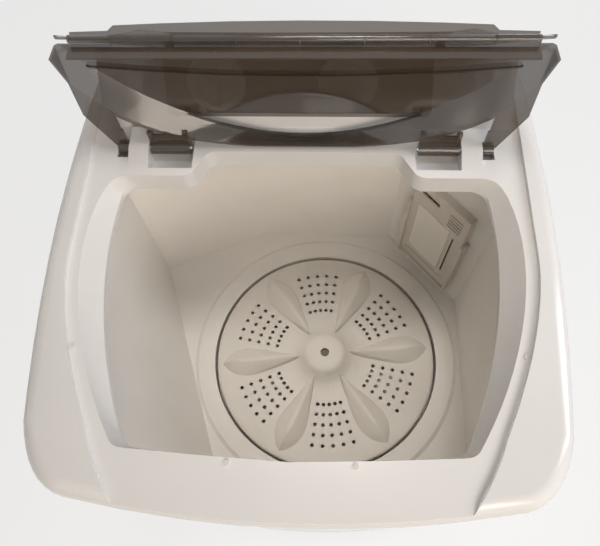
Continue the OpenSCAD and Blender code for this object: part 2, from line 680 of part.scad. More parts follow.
module motor_shaft() color(steel) at_axis() translate([0, motor_reach, belt_z - pulley_t / 2 - 3])
    cylinder(r = motor_shaft_r, h = motor_top - belt_z + pulley_t / 2 + 6);
module motor_grommets() color(dark) at_axis() translate([0, motor_reach, 0]) {
    for (a = [45:90:315]) rotate([0, 0, a]) translate([motor_hole_r, 0, plate_z - 5 + eps]) difference() {
        union() {
            cylinder(r = grommet_r, h = 5 - 2 * eps);
            cylinder(r = grommet_r - 2.1, h = 5 + plate_t);
            translate([0, 0, 5 + plate_t + 0.5 + eps]) cylinder(r = grommet_r, h = 3);
        }
        translate([0, 0, -1]) cylinder(r = 2.6, h = 20);
    }
}
module motor_bolts() color(steel) at_axis() translate([0, motor_reach, 0]) {
    for (a = [45:90:315]) rotate([0, 0, a]) translate([motor_hole_r, 0, plate_z + plate_t + 3.5 + 2 * eps]) bolt(2.5, 24);
}
cap_x = -118;
cap_y = 60;
cap_r = 20;
module capacitor() color("#d8d8da") at_axis() translate([cap_x, cap_y, plate_z - 68]) {
    cylinder(r = cap_r, h = 66);
    for (x = [-6, 6]) translate([x - 1, -3, -10]) cube([2, 6, 10 + eps]);
}
clip_fit = 0.05;
module capacitor_clip() color(steel) at_axis() translate([cap_x, cap_y, plate_z - 20]) {
    difference() {
        cylinder(r = cap_r + 1.5, h = 14);
        translate([0, 0, -1]) cylinder(r = cap_r + clip_fit, h = 16);
    }
    translate([-150 + plate_t - cap_x, -7, 0]) cube([-cap_r - 1 + 150 - plate_t + cap_x, 14, 14]);
}

// Drain: an elbow under the sump, a pipe to the back and a stub in the rear wall
pipe_r = 13;
module sump_elbow() color(dark) at_depth() {
    difference() {
        union() {
            translate([sump_x, sump_y, ring_z - 60]) cylinder(r = pipe_r + wall, h = 36 - eps);
            translate([sump_x, sump_y, ring_z - 60]) sphere(r = pipe_r + wall);
            translate([sump_x, sump_y, ring_z - 60]) rotate([-90, 0, 0]) cylinder(r = pipe_r + wall, h = 40);
        }
        translate([sump_x, sump_y, ring_z - 60]) cylinder(r = pipe_r, h = 60);
        translate([sump_x, sump_y, ring_z - 60]) sphere(r = pipe_r);
        translate([sump_x, sump_y, ring_z - 60]) rotate([-90, 0, 0]) cylinder(r = pipe_r, h = 60);
    }
}
pipe_back = reach_back - cabinet_inset - wall - 40;
module pipe_run(r) {
    translate([sump_x, sump_y + 40 + eps, ring_z - 60]) rotate([-90, 0, 0]) cylinder(r = r, h = pipe_back - sump_y - 40 - eps);
    translate([sump_x, pipe_back, ring_z - 60]) sphere(r = r);
    translate([sump_x, pipe_back, outlet_z]) cylinder(r = r, h = ring_z - 60 - outlet_z);
    translate([sump_x, pipe_back, outlet_z]) sphere(r = r);
    translate([sump_x, pipe_back, outlet_z]) rotate([-90, 0, 0]) cylinder(r = r, h = 30);
}
module drain_pipe() color(dark) at_depth() {
    difference() {
        pipe_run(pipe_r);
        pipe_run(pipe_r - 2.5);
        translate([sump_x, sump_y + 39, ring_z - 60]) rotate([-90, 0, 0]) cylinder(r = pipe_r - 2.5, h = 20);
        translate([sump_x, pipe_back, outlet_z]) rotate([-90, 0, 0]) cylinder(r = pipe_r - 2.5, h = 60);
    }
}
shank_l = 16;
hose_grip = 26;
module outlet_stub() color(dark) at_depth() translate([sump_x, pipe_back + 30 + eps, outlet_z]) rotate([-90, 0, 0]) {
    difference() {
        union() {
            cylinder(r = outlet_r, h = shank_l);
            cylinder(r = pipe_r, h = shank_l + hose_grip);
            translate([0, 0, shank_l + hose_grip - eps]) cylinder(r1 = pipe_r - 0.4, r2 = pipe_r - 1.5, h = 2);
            translate([0, 0, 10 - wall]) cylinder(r = outlet_r + 6, h = wall - 2 * eps);
        }
        translate([0, 0, -1]) cylinder(r = pipe_r - 3, h = 60);
    }
}
module cord_gland() color(dark) at_depth() translate([gland_x, back_face, gland_z]) rotate([-90, 0, 0]) {
    difference() {
        union() {
            translate([0, 0, 0.2]) cylinder(r = gland_r + 4, h = 3);
            translate([0, 0, 0.2]) cylinder(r = gland_r - 1, h = 6.3);
            translate([0, 0, -wall - 6]) cylinder(r = gland_r - 0.2, h = wall + 7);
            translate([0, 0, -wall - 6]) cylinder(r = gland_r + 3, h = 5.8);
        }
        translate([0, 0, -30]) cylinder(r = cord_r, h = 60);
        translate([0, 0, -30]) cylinder(r = cord_r + 2, h = 30.2);
    }
}
cord_r = 4.2;

// Lint filter on the rear right chamfer
rail_w = 5;
module filter_rails() color(warm_white) at_depth() at_filter() {
    for (x = [filter_w / 2 + face_gap, -filter_w / 2 - face_gap - rail_w]) translate([x, -rail_front, 0])
        cube([rail_w, rail_front - rail_off, filter_h * 0.7]);
    translate([-filter_w / 2 - face_gap - rail_w, -rail_front, -5])
        cube([filter_w + 2 * (face_gap + rail_w), rail_front - rail_off, 4.6]);
}
rail_front = filter_t + 4;
rail_off = 0.1;
module filter_frame() color(warm_white) at_depth() at_filter() difference() {
    translate([-filter_w / 2, -filter_t - face_gap, 0]) cube([filter_w, filter_t, filter_h]);
    translate([-filter_w / 2 + 6, -filter_t - face_gap + 2.5, 6]) cube([filter_w - 12, filter_t, filter_h - 12]);
    translate([-plate_w / 2 - 6, -filter_t - 1, 34]) cube([plate_w + 1, 1.6 - face_gap, plate_h + 1]);
    for (i = [0:4]) translate([filter_w / 2 - 34, -filter_t - 1, filter_h - 18 - i * 7]) cube([24, 6, 3]);
    translate([-filter_w / 2 + 12, -filter_t - 1, filter_h - 26]) cube([34, 6, 9]);
    translate([filter_w / 2 - 18, -filter_t - 1, 40]) cube([3, 6, plate_h - 16]);
    for (i = [0:15]) translate([-filter_w / 2 + 10 + i * (filter_w - 20) / 15, -filter_t - 1, 20])
        rotate([-90, 0, 0]) cylinder(r = 1.6, h = 6);
}
plate_w = 62;
plate_h = 118;
module filter_plate() color("#ded8cf") at_depth() at_filter()
    translate([-plate_w / 2 - 5.5, -filter_t - face_gap - 0.6, 34.5]) cube([plate_w, 1.2, plate_h]);
module filter_mesh() color("#c9c2b8") at_depth() at_filter() {
    for (i = [0:8]) translate([-filter_w / 2 + 8 + i * (filter_w - 18) / 8, -7, 8]) cube([1.2, 1.2, filter_h - 16]);
    for (i = [0:12]) translate([-filter_w / 2 + 6, -5.8, 10 + i * (filter_h - 22) / 12]) cube([filter_w - 12, 1.2, 1.6]);
}
module duct_cover() color(white) at_depth() at_filter() difference() {
    translate([-filter_w / 2 - 2, wall + face_gap, -4]) cube([filter_w + 4, 26, filter_h + 8]);
    translate([-filter_w / 2 + 1, wall, 0]) cube([filter_w - 2, 23, filter_h]);
}

// Control pod: housing, fascia, dials and what they turn
pod_face = atan2(pod_h, pod_run);
pod_tail = 102;
pod_round = 5;
function pod_profile(g) = rounded([[pod_y + g * 1.1, -40, 0], [pod_y + g * 1.1, 0, 0],
    [pod_y + pod_run, pod_h - g * 2.06, max(pod_round - g, 1)], [pod_y + pod_tail - g * 1.2, 0, 0],
    [pod_y + pod_tail - g * 1.2, -40, 0]]);
module pod_body(g) {
    intersection() {
        rotate([90, 0, 90]) translate([0, 0, -pod_half_w - 20]) linear_extrude(2 * pod_half_w + 40)
            polygon(pod_profile(g));
        rotate([90, 0, 0]) translate([0, 0, -500]) linear_extrude(1000) polygon([[-pod_half_w + g, -50],
            [pod_half_w - g, -50], [pod_half_w - g, 0], [pod_half_w - 12 - g, pod_h], [-pod_half_w + 12 + g, pod_h],
            [-pod_half_w + g, 0]]);
    }
}
// The ridge's round, and where the square line from the folded lid meets it: [along the lid, away from it]
ridge_half = (180 - pod_face - atan2(pod_h, pod_tail - pod_run)) / 2;
ridge_lean = (pod_face - atan2(pod_h, pod_tail - pod_run)) / 2;
ridge_at = [pod_y + pod_run + pod_round / sin(ridge_half) * sin(ridge_lean),
    pod_h - pod_round / sin(ridge_half) * cos(ridge_lean)];
folded_dir = [cos(folded_slope), -sin(folded_slope)];
folded_out = [-sin(folded_slope), -cos(folded_slope)];
buffer_w = (ridge_at - fold_at) * folded_dir;
buffer_h = (ridge_at - fold_at) * folded_out - pod_round;
module on_face(x) {
    translate([x, pod_y, 0]) rotate([pod_face, 0, 0]) translate([0, dial_s, 0]) children();
}
dial_s = 58;
dial_left = -dial_shift - dial_pitch / 2;
dial_right = -dial_shift + dial_pitch / 2;
fascia_t = 1.6;
fascia_w = 313;
fascia_shift = 7;
fascia_low = 16;
fascia_high = 90;
spindle_r = 3;
pod_screw_places = [-200, 0, 200];
pod_boss_y = pod_y + pod_run + 26;
module pod_housing() color(white) at_depth(deck_z) {
    difference() {
        intersection() {
            pod_body(0);
            translate([-400, 0, 0]) cube([800, 500, 200]);
        }
        pod_body(wall);
        for (x = [dial_left, dial_right]) on_face(x) cylinder(r = spindle_r + 1.5, h = 40, center = true);
        at_buffers(-10) cylinder(r = buffer_stem_r + 0.02, h = 30);
    }
    intersection() {
        pod_body(wall - 1);
        pod_bosses();
    }
}
module pod_fascia() color("#8d8a88") at_depth(deck_z) difference() {
    translate([0, pod_y, 0]) rotate([pod_face, 0, 0]) translate([-fascia_shift, 0, 0.05])
        linear_extrude(fascia_t)
        polygon(rounded([[-fascia_w / 2, fascia_low, 8], [fascia_w / 2, fascia_low, 8],
            [fascia_w / 2 - 6, fascia_high, 8], [-fascia_w / 2 + 6, fascia_high, 8]]));
    for (x = [dial_left, dial_right]) on_face(x) cylinder(r = spindle_r + 1.5, h = 40, center = true);
}
module pod_bosses() {
    for (x = pod_screw_places) translate([x, pod_boss_y, 0]) difference() {
        cylinder(r = 5, h = pod_h * 0.7);
        translate([0, 0, -1]) cylinder(r = screw_r + run_gap, h = 16);
    }
}
module pod_screws() color(steel) at_depth(deck_z) {
    for (x = pod_screw_places) translate([x, pod_boss_y, -wall]) rotate([180, 0, 0]) screw(screw_r, 12);
}
// A dial: a flat skirt with a raised grip bar and a pointer line; z = 0 is the fascia
module dial() {
    difference() {
        union() {
            rotate_extrude() polygon([[0, 0], [dial_r, 0], [dial_r, 2], [dial_r - 2, 3.5], [dial_r - 9, 4],
                [dial_r - 13, 9], [0, 9]]);
            intersection() {
                translate([-6, -dial_r + 10, 8]) cube([12, 2 * dial_r - 20, 11]);
                translate([0, 0, -20]) cylinder(r1 = dial_r + 8, r2 = dial_r - 16, h = 40);
            }
        }
        translate([0, 0, -1]) cylinder(r = spindle_r, h = 13);
        translate([-0.8, dial_r - 26, 18.2]) cube([1.6, 16, 2]);
        difference() {
            translate([0, 0, -1]) cylinder(r = dial_r - 3, h = 2.5);
            translate([0, 0, -2]) cylinder(r = spindle_r + 4, h = 5);
        }
    }
}
dial_lift = fascia_t + 0.5;
module timer_knob() color(white) at_depth(deck_z) on_face(dial_left) translate([0, 0, dial_lift]) dial();
module selector_knob() color(white) at_depth(deck_z) on_face(dial_right) translate([0, 0, dial_lift]) dial();
module spindle(x) color(steel) at_depth(deck_z) on_face(x) translate([0, 0, -26]) cylinder(r = spindle_r, h = 26 + dial_lift + 12);
module timer_spindle() spindle(dial_left);
module selector_spindle() spindle(dial_right);
module control_body(x, w, h, depth) {
    at_depth(deck_z) on_face(x) difference() {
        translate([-w / 2, -h / 2, -wall - depth]) cube([w, h, depth - 0.4]);
        translate([0, 0, -27]) cylinder(r = spindle_r + run_gap, h = 40);
    }
}
module timer_body() color(dark) control_body(dial_left, 52, 30, 24);
module selector_body() color("#c8c2a8") control_body(dial_right, 34, 26, 24);

// Lid hinge pins, buffers and the two halves of the lid
arm_w = 12;
barrel_r = 8;
bracket_in = 134;
bracket_out = 181;
module hinge_pins() color(steel) at_depth(deck_z + hinge_rise) {
    for (x = [0, 1]) mirror([x, 0, 0]) translate([pocket_in + 1.5, hinge_y, 0]) rotate([0, 90, 0])
        cylinder(r = hinge_pin_r, h = post_out + arm_w + 1 - pocket_in);
}
buffer_on_side = 107;
buffer_places = [[rim_x(buffer_on_side) - lid_wall / 2, hinge_y - lid_rear_l - buffer_on_side],
    [60, hinge_y - lid_rear_l - lid_front_l + 2.9]];
module deck_buffers() color(dark) at_depth(deck_z) {
    for (x = [-1, 1], p = buffer_places) translate([x * p[0], p[1], eps])
        cylinder(r = 2.5, h = hinge_rise - face_gap - eps);
}
buffer_stem_r = 2.5;
module at_buffers(z) {
    for (x = [-150, 150]) translate([0, fold_at[0], fold_at[1]]) rotate([180 - folded_slope, 0, 0])
        translate([x, -buffer_w, z]) children();
}
module pod_buffers() color(dark) at_depth(deck_z) {
    at_buffers(face_gap) cylinder(r = 5, h = buffer_h - face_gap - eps);
    at_buffers(face_gap + 1) cylinder(r = buffer_stem_r, h = buffer_h + 4);
}

module shell_of(g) {
    hull() {
        translate([0, 0, -g]) linear_extrude(eps) children(0);
        translate([0, 0, lid_crown - g - eps]) linear_extrude(eps) children(1);
    }
}
module half_of(points) {
    polygon(concat(points, flipped(points)));
}
// The knuckles of one half: k = 0 for the front half, 1 for the rear half, y pointing away from that half
knuckle_r = 4;
knuckle_end = lid_half_w - 18;
module knuckles(k, dir) {
    for (i = [0:3]) let (a = -4 * knuckle_l + (2 * i + k) * knuckle_l, b = a + knuckle_l,
        lo = max(a, -knuckle_end) + 0.4, hi = min(b, knuckle_end) - 0.4) translate([lo, 0, 0]) {
        rotate([0, 90, 0]) cylinder(r = knuckle_r, h = hi - lo);
        translate([0, dir > 0 ? 0 : -8, -knuckle_r]) cube([hi - lo, 8, knuckle_r]);
    }
}
module fold_bore() {
    rotate([0, 90, 0]) cylinder(r = fold_wire_r + run_gap, h = 2 * lid_half_w + 40, center = true);
}
// Clears the other half's barrels and webs along the fold
module fold_clearance(k) {
    for (i = [0:3]) let (a = -4 * knuckle_l + (2 * i + k) * knuckle_l) translate([a, 0, 0])
        rotate([0, 90, 0]) cylinder(r = knuckle_r + 0.6, h = knuckle_l);
}
// The slot's chord, and the hood above it: an inner cover that bulges to the inside, with an arched lip
slot_u = 38;
hood_half = 100;
hood_top = 78;
hood_plan_r = (pow(hood_half, 2) + pow(hood_top - slot_u, 2)) / (2 * (hood_top - slot_u));
lip_u = 53;
lip_r = (pow(hood_half, 2) + pow(lip_u - slot_u, 2)) / (2 * (lip_u - slot_u));
hood_depth = 12;
hood_low_r = hood_plan_r - hood_top + lip_u;
hood_sphere_r = sqrt(pow(hood_plan_r, 2) + pow((pow(hood_plan_r, 2) - pow(hood_low_r, 2) - pow(hood_depth, 2))
    / (2 * hood_depth), 2));
hood_sphere_z = sqrt(pow(hood_sphere_r, 2) - pow(hood_plan_r, 2));
module hood_plan(g) {
    difference() {
        translate([0, -hood_top + hood_plan_r]) circle(r = hood_plan_r + g, $fn = 180);
        translate([0, -lip_u + lip_r]) circle(r = lip_r, $fn = 360);
        translate([-300, -slot_u + g]) square([600, 400]);
    }
}
module slot_plan() {
    intersection() {
        half_of(rear_crown(-0.5));
        translate([-300, -slot_u]) square([600, 100]);
    }
}
module lid_rear() color(smoke) at_hinge() {
    difference() {
        union() {
            difference() {
                shell_of(0) {
                    half_of(rear_rim(0));
                    half_of(rear_crown(0));
                }
                shell_of(lid_wall) {
                    half_of(rear_rim(-lid_wall));
                    half_of(rear_crown(-lid_wall));
                }
                translate([-400, -lid_rear_l - 20, -30]) cube([800, 20 + 5.5, 80]);
                translate([0, 0, lid_crown - 8]) linear_extrude(20) slot_plan();
            }
            // Wall along the fold
            translate([-knuckle_end, -lid_rear_l + 5.5, 2]) cube([2 * knuckle_end, lid_wall, lid_crown - 3]);
            // Rib across the panel
            translate([0, 0, lid_crown - lid_wall - 4]) linear_extrude(4.5) intersection() {
                difference() {
                    translate([0, -97 - rib_r]) circle(r = rib_r, $fn = 360);
                    translate([0, -97 - rib_r]) circle(r = rib_r - 2, $fn = 360);
                }
                half_of(rear_crown(-2));
            }
            // Hood over the slot
            intersection() {
                translate([0, -hood_top + hood_plan_r, lid_crown + hood_sphere_z]) difference() {
                    sphere(r = hood_sphere_r + lid_wall, $fn = 200);
                    sphere(r = hood_sphere_r, $fn = 200);
                }
                translate([0, 0, lid_crown - 22]) linear_extrude(22) hood_plan(1.5);
            }
            // Corner flaps with the outer arms
            for (x = [0, 1]) mirror([x, 0, 0]) linear_extrude(lid_wall) difference() {
                polygon([[post_out + 2, 6], [post_out + arm_w, 6], [lid_half_w - 6, -56], [lid_half_w - 8, -104],
                    [lid_half_w - 30, -80], [post_out + 2, -56]]);
                half_of(rear_rim(-lid_wall));
            }
            for (x = [0, 1]) mirror([x, 0, 0]) {
                translate([post_out + 1, 0, 0]) rotate([0, 90, 0]) cylinder(r = barrel_r, h = arm_w);
                translate([post_out + 1, -30, 0]) cube([arm_w, 30, lid_wall + 1]);
                translate([bracket_in, 0, 0]) rotate([0, 90, 0]) cylinder(r = barrel_r, h = bracket_out - bracket_in);
                for (s = [bracket_in, bracket_out - 6, (bracket_in + bracket_out) / 2 - 3])
                    translate([s, -26, 0]) cube([6, 26, 5]);
                translate([bracket_in, -22, 0]) cube([bracket_out - bracket_in, 22, lid_wall]);
            }
            translate([0, -lid_rear_l, lid_crown]) knuckles(1, 1);
        }
        translate([0, -lid_rear_l, lid_crown]) {
            fold_bore();
            fold_clearance(0);
        }
        rotate([0, 90, 0]) cylinder(r = hinge_pin_r + run_gap, h = 2 * lid_half_w, center = true);
    }
}
rib_r = 1900;

module lid_front() color(smoke) at_fold() {
    difference() {
        union() {
            difference() {
                translate([0, 0, -lid_crown]) shell_of(0) {
                    half_of(front_rim(0));
                    half_of(front_crown(0));
                }
                translate([0, 0, -lid_crown]) shell_of(lid_wall) {
                    half_of(front_rim(-lid_wall));
                    half_of(front_crown(-lid_wall));
                }
                translate([-400, -5.5, -80]) cube([800, 20 + 5.5, 120]);
                rotate([90, 0, 90]) translate([0, 0, -400]) linear_extrude(800) polygon(concat([[1, -40], [1, -skirt_rise]],
                    [for (w = [0:16:skirt_run]) [-w, -skirt_rise - (lid_crown - skirt_rise) * pow(w / skirt_run, 1.8)]],
                    [[-skirt_run, -40]]));
            }
            // Stiffening flange along the fold, taller over the middle
            translate([0, -5.5, 0]) rotate([90, 0, 0]) linear_extrude(lid_wall) polygon(concat(
                [[-knuckle_end, -1], [-knuckle_end, -7], [-flange_half - 6, -8], [-flange_half, -13]],
                [for (x = [-140:35:140]) [x, -17 + 4 * pow(x / flange_half, 2)]],
                [[flange_half, -13], [flange_half + 6, -8], [knuckle_end, -7], [knuckle_end, -1]]));
            knuckles(0, -1);
        }
        fold_bore();
        fold_clearance(1);
    }
}
flange_half = 187;
// The front half's side skirt is skirt_rise deep at the fold, and as deep as the crown from skirt_run on
skirt_rise = 4;
skirt_run = 160;
module fold_wire() color(steel) at_fold() rotate([0, 90, 0])
    cylinder(r = fold_wire_r, h = 2 * knuckle_end - 2, center = true);

// Pulsator: a disc with a hub, vanes and fields of holes
disc_r = well_r - well_gap;
disc_t = 4;
vane_in = 36;
vane_out = disc_r - 8;
vane_turn = 6.1;
field_in = 0.443 * well_r;
field_out = 0.796 * well_r;
field_angle = 26;
vane_len = vane_out - vane_in;
// A leaf outline: k scales its width, and t0 and t1 are where it starts and ends along the vane
function leaf_w(t) = vane_w / 2 * pow(sin(180 * pow(t, 1.8)), 0.8);
function leaf_side(k, t0, t1, side) = [for (i = [0:15]) let (t = side > 0 ? i / 15 : 1 - i / 15)
    [vane_in + vane_len * (t0 + (t1 - t0) * t), side * k * leaf_w(t)]];
module leaf(k, t0, t1) {
    polygon(concat(leaf_side(k, t0, t1, 1), leaf_side(k, t0, t1, -1)));
}
module vane() {
    hull() {
        translate([0, 0, -2]) linear_extrude(2) leaf(1, 0, 1);
        linear_extrude(vane_h * 0.25) leaf(0.88, 0.01, 0.98);
        linear_extrude(vane_h * 0.72) leaf(0.46, 0.03, 0.93);
        linear_extrude(vane_h * 0.93) leaf(0.2, 0.04, 0.86);
        linear_extrude(vane_h) leaf(0.09, 0.05, 0.8);
    }
}
module pulsator() color("#a8a095") at_axis(ring_z) {
    difference() {
        union() {
            rotate_extrude() polygon([[0, -disc_t], [disc_r - 3, -disc_t], [disc_r - 3, -16], [disc_r, -16],
                [disc_r, -2], [disc_r - 2, 0], [disc_r - 8, 1], [disc_r - 14, 0], [62, 0], [48, 3], [38, 10],
                [33, hub_h - 4], [28, hub_h - 1], [20, hub_h], [0, hub_h]]);
            for (i = [0:vane_count - 1]) rotate([0, 0, vane_turn + i * 360 / vane_count]) vane();
            translate([0, 0, -22]) cylinder(r = 19, h = 20);
        }
        translate([0, 0, -30]) cylinder(r = shaft_r, h = 28);
        translate([0, 0, -10]) cylinder(r = bolt_r + 0.3, h = 40);
        translate([0, 0, hub_h - 9]) cylinder(r = 7, h = 20);
        for (i = [0:vane_count - 1], j = [0:hole_rows - 1], k = [0:hole_rows - 1])
            rotate([0, 0, vane_turn + (i + 0.5) * 360 / vane_count + field_angle * (k / (hole_rows - 1) - 0.5)])
                translate([field_in + (field_out - field_in) * j / (hole_rows - 1), 0, -disc_t - 1]) cylinder(r = hole_r, h = 8, $fn = 24);
    }
}
module pulsator_screw() color(steel) at_axis(ring_z + hub_h - 9) {
    difference() {
        union() {
            cylinder(r = 6, h = 4);
            translate([0, 0, -30]) cylinder(r = bolt_r, h = 31);
        }
        translate([-1, -8, 2.5]) cube([2, 16, 3]);
    }
}

base_frame();
cabinet();
rear_cover();
rear_cover_screws();
feet();
top_deck();
deck_screws();
wash_tub();
tub_seal();
drive_plate();
plate_bolts();
bearing_housing();
housing_bolts();
upper_bearing();
lower_bearing();
shaft_seal();
motor();
motor_grommets();
motor_bolts();
capacitor();
capacitor_clip();
drive_belt();
sump_elbow();
drain_pipe();
outlet_stub();
cord_gland();
duct_cover();
filter_rails();
pod_housing();
pod_fascia();
pod_screws();
timer_body();
selector_body();
hinge_pins();
deck_buffers();
pod_buffers();
pulsator();
pulsator_shaft();
pulsator_screw();
driven_pulley();
pulley_nut();
motor_shaft();
motor_pulley();
pulley_set_screw();
filter_frame();
filter_mesh();
filter_plate();
timer_knob();
timer_spindle();
selector_knob();
selector_spindle();
lid_rear();
lid_front();
fold_wire();
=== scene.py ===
# %% [markdown]
# # A washing machine with a smoked folding lid
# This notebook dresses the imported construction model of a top-loading washing machine. The construction
# already gives every piece its true size and place, so the work here is on surfaces: rounded moulded edges,
# the right plastics, and the small things that a construction model leaves out. Everything is in metres.

# %% Load the frame
import json
import math
import bpy
import bmesh
from mathutils import Matrix, Vector

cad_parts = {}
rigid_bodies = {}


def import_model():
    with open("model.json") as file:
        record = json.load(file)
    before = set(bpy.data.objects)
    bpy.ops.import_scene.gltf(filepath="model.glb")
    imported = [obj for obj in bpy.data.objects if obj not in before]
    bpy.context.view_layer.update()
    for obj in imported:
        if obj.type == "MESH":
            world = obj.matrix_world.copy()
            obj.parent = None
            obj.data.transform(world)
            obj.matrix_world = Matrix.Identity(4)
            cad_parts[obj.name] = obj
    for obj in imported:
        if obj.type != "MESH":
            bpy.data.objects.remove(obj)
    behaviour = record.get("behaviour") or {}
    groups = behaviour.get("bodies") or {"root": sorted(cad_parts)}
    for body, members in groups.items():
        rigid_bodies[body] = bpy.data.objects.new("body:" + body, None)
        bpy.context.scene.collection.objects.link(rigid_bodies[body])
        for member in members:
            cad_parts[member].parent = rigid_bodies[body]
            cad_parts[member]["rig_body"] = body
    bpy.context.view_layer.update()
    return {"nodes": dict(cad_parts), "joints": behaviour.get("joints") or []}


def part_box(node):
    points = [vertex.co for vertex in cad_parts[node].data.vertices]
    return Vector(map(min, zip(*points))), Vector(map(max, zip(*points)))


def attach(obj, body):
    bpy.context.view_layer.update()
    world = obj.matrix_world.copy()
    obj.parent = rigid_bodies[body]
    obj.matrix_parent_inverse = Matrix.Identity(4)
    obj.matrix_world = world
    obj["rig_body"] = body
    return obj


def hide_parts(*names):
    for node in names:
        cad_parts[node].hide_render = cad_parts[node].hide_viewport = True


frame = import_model()
nodes = frame["nodes"]
MM = 0.001
same_place = 0.02 * MM

# %% [markdown]
# ## Colour and nodes
# Colours are picked as sRGB hex values, as on a screen, but shaders work in linear light. One function
# turns one into the other. A second one adds a shader node with its settings and links, so that a material
# reads as a short list of what feeds what. The others are the patterns that nearly every finish here uses: a
# soft mix of two colours, a range for a pattern to vary over, and bumps.

# %% Helpers for materials
def linear(hex_value):
    parts = [int(hex_value[i:i + 2], 16) / 255 for i in (1, 3, 5)]
    return [c / 12.92 if c <= 0.04045 else ((c + 0.055) / 1.055) ** 2.4 for c in parts] + [1.0]


def add(tree, kind, sockets=None, **settings):
    node = tree.nodes.new(kind)
    for name, value in settings.items():
        setattr(node, name, value)
    for name, value in (sockets or {}).items():
        if isinstance(value, bpy.types.NodeSocket):
            tree.links.new(value, node.inputs[name])
        else:
            node.inputs[name].default_value = value
    return node


def new_material(name):
    material = bpy.data.materials.new(name)
    material.use_nodes = True
    tree = material.node_tree
    tree.nodes.clear()
    output = add(tree, "ShaderNodeOutputMaterial")
    place = add(tree, "ShaderNodeTexCoord")
    return material, tree, output, place.outputs["Object"]


def mottle(tree, place, size, low, high):
    """A soft random mix of two colours whose patches are about size across, in metres."""
    noise = add(tree, "ShaderNodeTexNoise", {"Vector": place, "Scale": 1 / size, "Detail": 3.0})
    ramp = add(tree, "ShaderNodeValToRGB", {"Fac": noise.outputs["Fac"]})
    ramp.color_ramp.elements[0].position = 0.3
    ramp.color_ramp.elements[1].position = 0.7
    ramp.color_ramp.elements[0].color = linear(low)
    ramp.color_ramp.elements[1].color = linear(high)
    return ramp.outputs["Color"]


def spread(tree, source, low, high):
    """Maps a 0 to 1 pattern onto the range low to high."""
    return add(tree, "ShaderNodeMapRange", {"Value": source, "To Min": low, "To Max": high}).outputs["Result"]


def bumps(tree, place, size, height, strength, detail=2.0, under=None):
    """Bumps of a moulded or cast skin: size is their width and height their depth, in metres."""
    noise = add(tree, "ShaderNodeTexNoise", {"Vector": place, "Scale": 1 / size, "Detail": detail})
    sockets = {"Height": noise.outputs["Fac"], "Distance": height, "Strength": strength}
    if under:
        sockets["Normal"] = under
    return add(tree, "ShaderNodeBump", sockets).outputs["Normal"]


print("sRGB mid grey in linear light:", round(linear("#808080")[0], 3))

# %% [markdown]
# ## Moulded plastics
# Nearly all of this machine is injection-moulded polypropylene. The deck and casing come from a polished
# mould, so they are glossy, with the faint waviness that thick polypropylene gets as it cools. The tub and
# the pulsator come from a matter mould, take on a warm tint from the light that bounces inside, and hold a
# trace of detergent film, which shows as soft changes of roughness.

# %% Polished polypropylene of the deck and casing
def polypropylene(name, colours, rough, wave, pits, coat=0.0):
    """Takes two colours, two roughnesses, and the width and depth in mm of its waves and of its pits."""
    material, tree, output, place = new_material(name)
    patch = 120 * MM
    film_patch = 30 * MM
    film = add(tree, "ShaderNodeTexNoise", {"Vector": place, "Scale": 1 / film_patch, "Detail": 4.0})
    slow = bumps(tree, place, wave[0] * MM, wave[1] * MM, 0.5, detail=1.0)
    fine = bumps(tree, place, pits[0] * MM, pits[1] * MM, 0.4, under=slow)
    shader = add(tree, "ShaderNodeBsdfPrincipled", {
        "Base Color": mottle(tree, place, patch, *colours),
        "Roughness": spread(tree, film.outputs["Fac"], *rough),
        "Normal": fine, "IOR": 1.49, "Specular IOR Level": 0.5,
        "Coat Weight": coat, "Coat Roughness": 0.08,
        "Subsurface Weight": 0.04, "Subsurface Scale": 4 * MM})
    tree.links.new(shader.outputs["BSDF"], output.inputs["Surface"])
    return material


deck_white = polypropylene(
    "polypropylene_polished", ("#e8e7e6", "#ecebea"), (0.19, 0.23), (90, 0.12), (1.2, 0.02), coat=0.3)
tub_white = polypropylene(
    "polypropylene_tub", ("#f0ece6", "#f6f3ee"), (0.38, 0.52), (120, 0.5), (1.6, 0.05))
disc_white = polypropylene(
    "polypropylene_pulsator", ("#e9e4dc", "#f0ece5"), (0.40, 0.55), (80, 0.3), (1.4, 0.06))
filter_white = polypropylene(
    "polypropylene_filter", ("#d2ccc1", "#dbd5cb"), (0.42, 0.55), (80, 0.2), (1.4, 0.04))
plate_white = polypropylene(
    "polypropylene_plate", ("#ece7de", "#f2ede5"), (0.30, 0.40), (80, 0.1), (1.4, 0.03))
print("plastics:", [m.name for m in (deck_white, tub_white, disc_white, filter_white, plate_white)])

# %% [markdown]
# The lid is a smoked transparent styrene. A skin lets about a third of the light behind it through where the
# eye looks straight at it, and less on a slant, because the light then takes a longer way through the
# plastic. Alpha with Layer Weight gives that cheaply and without the noise of true refraction, and it lets
# the lamps light the pod behind. Where the sheet ends, light that is caught inside the plastic never
# comes out towards the eye, so each cut edge is a dark line. That is a second, nearly opaque finish.

# %% Smoked styrene of the lid
def smoked_styrene(name, shade, straight, slanted, rough):
    material, tree, output, place = new_material(name)
    haze_patch = 50 * MM
    haze = add(tree, "ShaderNodeTexNoise", {"Vector": place, "Scale": 1 / haze_patch, "Detail": 5.0})
    slant = add(tree, "ShaderNodeLayerWeight", {"Blend": 0.3})
    shader = add(tree, "ShaderNodeBsdfPrincipled", {
        "Base Color": linear(shade), "Roughness": spread(tree, haze.outputs["Fac"], rough * 0.7, rough * 1.5),
        "Normal": bumps(tree, place, 110 * MM, 0.6 * MM, 0.4, detail=1.0),
        "IOR": 1.57, "Coat Weight": 0.3, "Coat Roughness": 0.06,
        "Alpha": spread(tree, slant.outputs["Facing"], straight, slanted)})
    tree.links.new(shader.outputs["BSDF"], output.inputs["Surface"])
    return material


